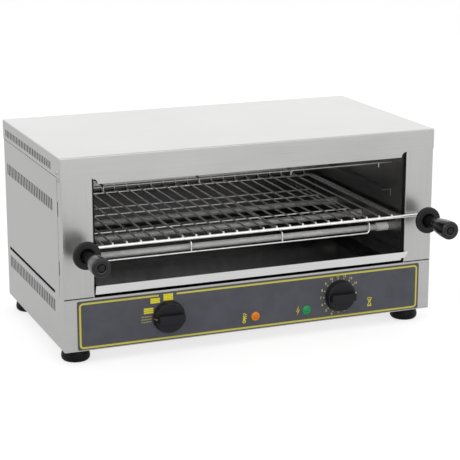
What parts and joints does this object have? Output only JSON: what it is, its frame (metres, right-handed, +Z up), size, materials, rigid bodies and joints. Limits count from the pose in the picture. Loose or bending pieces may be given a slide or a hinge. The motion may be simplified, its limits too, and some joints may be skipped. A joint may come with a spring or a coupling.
{
  "type": "toaster grill",
  "caption": "Open-fronted counter-top toaster grill: brushed steel case, pull-out wire rack with two black grips, crumb tray, quartz heating tubes, selector and timer knobs.",
  "frame": {"origin": "on the surface the feet stand on, at the centre of the footprint with the grips and the cable gland included", "axes": "+X to the right seen from the front, +Y to the back, +Z up"},
  "size_m": [0.646, 0.473, 0.333],
  "materials": {
    "brushed_steel": "brushed",
    "liner_steel": "satin, dulled by heat",
    "reflector": "semi-polished",
    "tray_steel": "satin",
    "wire_steel": "bright wire",
    "quartz": "milky quartz",
    "heater_wire": "oxidised resistance wire",
    "ceramic": "unglazed",
    "handle_plastic": "black, glossy",
    "knob_plastic": "black, satin",
    "overlay": "dark grey film, satin",
    "black_plastic": "moulded",
    "orange_lens": "clear tinted",
    "green_lens": "clear tinted",
    "foot_rubber": "moulded",
    "bright_metal": "zinc plated"
  },
  "bodies": {
    "case": {"back_panel": "brushed_steel", "back_screws": "bright_metal", "base_plate": "brushed_steel", "base_shell": "brushed_steel", "cable_gland": "black_plastic", "case_screws": "bright_metal", "cavity_back": "liner_steel", "control_overlay": "overlay", "foot_nuts": "bright_metal", "foot_screws": "bright_metal", "gland_nut": "black_plastic", "green_lamp_lens": "green_lens", "lamp_housings": "black_plastic", "left_cavity_wall": "liner_steel", "left_front_foot": "foot_rubber", "left_lower_guide": "liner_steel", "left_post": "brushed_steel", "left_rear_foot": "foot_rubber", "left_side_panel": "brushed_steel", "left_tray_runner": "liner_steel", "left_upper_guide": "liner_steel", "lower_guard": "wire_steel", "lower_quartz_tubes": "quartz", "lower_windings": "heater_wire", "orange_lamp_lens": "orange_lens", "right_cavity_wall": "liner_steel", "right_front_foot": "foot_rubber", "right_lower_guide": "liner_steel", "right_post": "brushed_steel", "right_rear_foot": "foot_rubber", "right_side_panel": "brushed_steel", "right_tray_runner": "liner_steel", "right_upper_guide": "liner_steel", "selector_switch": "black_plastic", "terminal_block": "black_plastic", "timer_unit": "black_plastic", "top_cover": "brushed_steel", "tube_caps": "ceramic", "upper_guard": "wire_steel", "upper_quartz_tubes": "quartz", "upper_reflector": "reflector", "upper_windings": "heater_wire"},
    "rack": {"wire_rack": "wire_steel", "left_handle_shield": "handle_plastic", "right_handle_shield": "handle_plastic", "left_grip": "handle_plastic", "right_grip": "handle_plastic", "shield_collars": "bright_metal", "grip_nuts": "bright_metal"},
    "tray": {"crumb_tray": "tray_steel"},
    "selector": {"selector_knob": "knob_plastic", "selector_shaft": "bright_metal"},
    "timer": {"timer_knob": "knob_plastic", "timer_shaft": "bright_metal"}
  },
  "joints": [
    {"name": "rack_slide", "type": "slide", "parent": "case", "child": "rack", "axis": [0, -1, 0], "range_m": [0, 0.22]},
    {"name": "tray_slide", "type": "slide", "parent": "case", "child": "tray", "axis": [0, -1, 0], "range_m": [0, 0.24]},
    {"name": "selector_turn", "type": "hinge", "parent": "case", "child": "selector", "pos_m": [-0.1486, -0.1225, 0.0642], "axis": [0, 1, 0], "range_deg": [0, 90]},
    {"name": "timer_turn", "type": "hinge", "parent": "case", "child": "timer", "pos_m": [0.1518, -0.1225, 0.0648], "axis": [0, 1, 0], "range_deg": [0, 330]}
  ]
}
